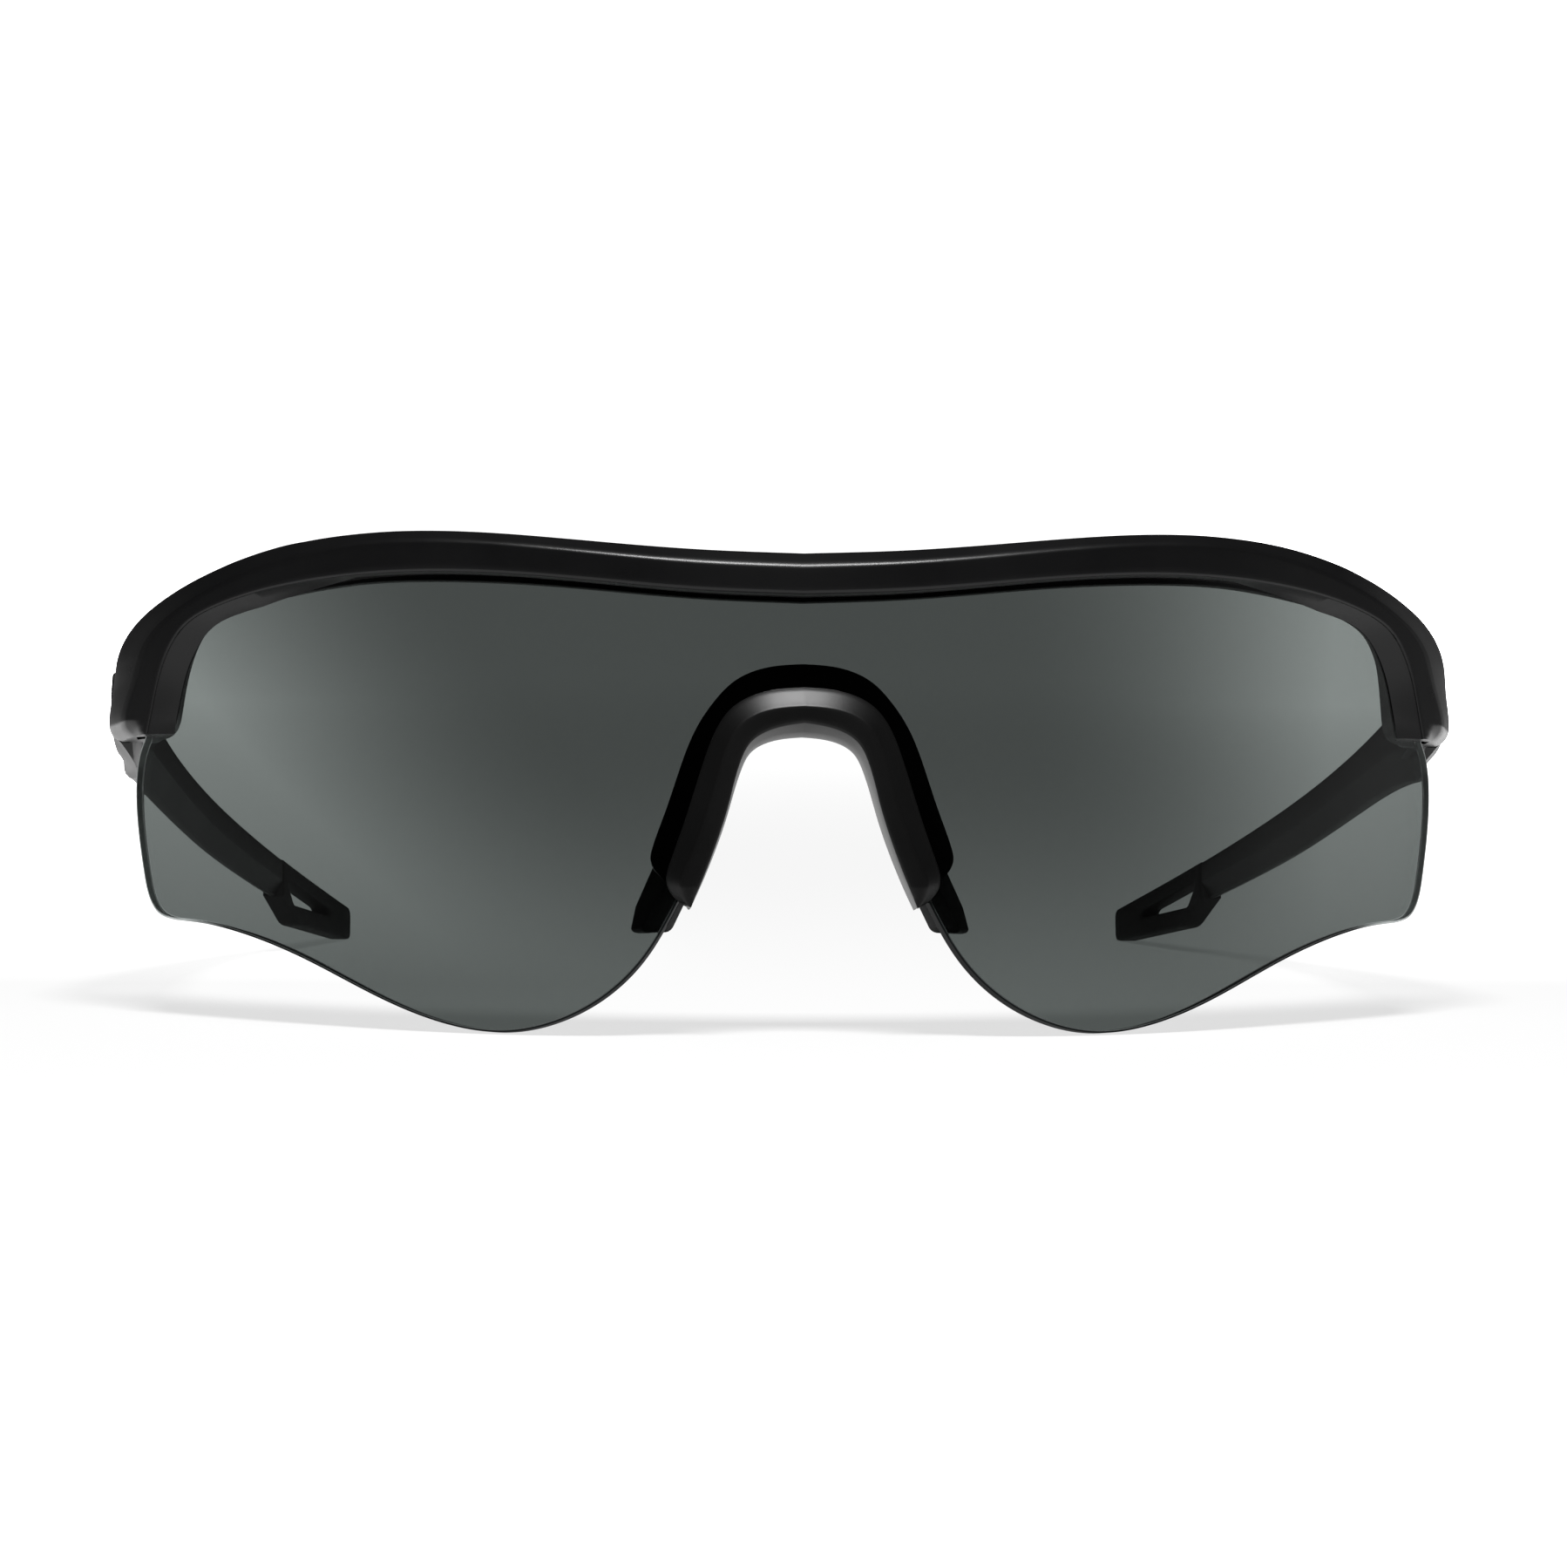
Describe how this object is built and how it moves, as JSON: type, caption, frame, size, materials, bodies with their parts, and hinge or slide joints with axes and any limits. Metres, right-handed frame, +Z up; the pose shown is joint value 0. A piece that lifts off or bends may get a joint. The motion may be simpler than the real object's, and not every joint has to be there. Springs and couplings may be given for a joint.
{
  "type": "wraparound sport sunglasses",
  "caption": "Half-rim wraparound shield sunglasses with a smoke lens, clip-in nose bridge with rubber pads, and folding temples with windowed rubber tips.",
  "frame": {"origin": "middle of the underside of the bounding box, on the table the glasses lie on", "axes": "+X to the right as the lens is looked at from in front, +Y from the lens towards the wearer's ears, +Z up"},
  "size_m": [0.146, 0.1524, 0.052],
  "materials": {
    "frame_black": "satin moulded nylon, fine spark-eroded grain",
    "temple_black": "satin moulded nylon, fine spark-eroded grain",
    "bridge_black": "satin moulded nylon",
    "lens_smoke": "clear grey-green smoke polycarbonate, hard coated",
    "nose_rubber": "matt ribbed elastomer",
    "tip_rubber": "matt elastomer",
    "hinge_steel": "tumbled stainless steel",
    "screw_steel": "turned stainless steel",
    "washer_nylon": "black nylon"
  },
  "bodies": {
    "front": {"brow_frame": "frame_black", "shield_lens": "lens_smoke", "nose_bridge": "bridge_black", "nose_pad_left": "nose_rubber", "nose_pad_right": "nose_rubber", "frame_hinge_leaf_left": "hinge_steel", "frame_hinge_leaf_right": "hinge_steel", "frame_leaf_screws_left": "screw_steel", "frame_leaf_screws_right": "screw_steel", "hinge_screw_left": "screw_steel", "hinge_screw_right": "screw_steel", "hinge_washers_left": "washer_nylon", "hinge_washers_right": "washer_nylon"},
    "temple_left": {"temple_arm_left": "temple_black", "temple_tip_left": "tip_rubber", "temple_hinge_leaf_left": "hinge_steel", "temple_leaf_screws_left": "screw_steel"},
    "temple_right": {"temple_arm_right": "temple_black", "temple_tip_right": "tip_rubber", "temple_hinge_leaf_right": "hinge_steel", "temple_leaf_screws_right": "screw_steel"}
  },
  "joints": [
    {"name": "hinge_left", "type": "hinge", "parent": "front", "child": "temple_left", "pos_m": [-0.068, -0.03196, 0.03214], "axis": [0, -0.289, -0.9573], "range_deg": [0, 77]},
    {"name": "hinge_right", "type": "hinge", "parent": "front", "child": "temple_right", "pos_m": [0.068, -0.03196, 0.03214], "axis": [0, 0.289, 0.9573], "range_deg": [0, 90]}
  ]
}
